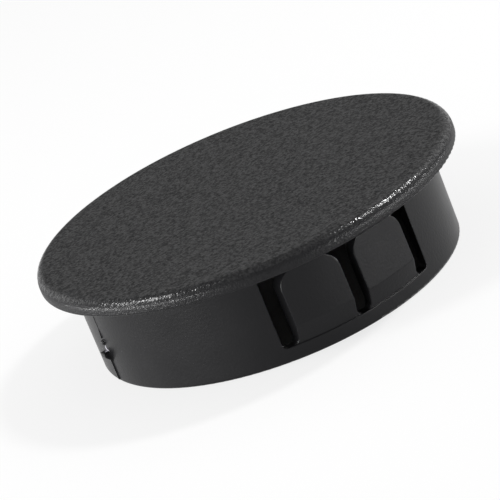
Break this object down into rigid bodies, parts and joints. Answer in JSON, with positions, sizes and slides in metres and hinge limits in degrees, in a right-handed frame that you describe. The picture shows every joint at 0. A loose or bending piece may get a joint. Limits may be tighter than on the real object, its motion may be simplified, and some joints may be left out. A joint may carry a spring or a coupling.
{
  "type": "snap-in hole plug",
  "caption": "Black moulded snap-in hole plug: a flat, finely grained round head over a hollow skirt, with sprung tongues in windows that grip the edge of a panel hole.",
  "frame": {"origin": "centre of the head's underside, in the plane of the panel's outer face", "axes": "+Z out of the panel through the head, -Z down the skirt into the hole; the tongue windows face -Y and +Y, a small catch stands out on -X and on +X, and the gate's stub is on -X"},
  "size_m": [0.0434, 0.0434, 0.0112],
  "materials": {
    "black_nylon": "black moulded nylon, fine eroded grain on the head and smooth satin on the skirt"
  },
  "bodies": {
    "root": {"hole_plug": "black_nylon"}
  },
  "joints": []
}
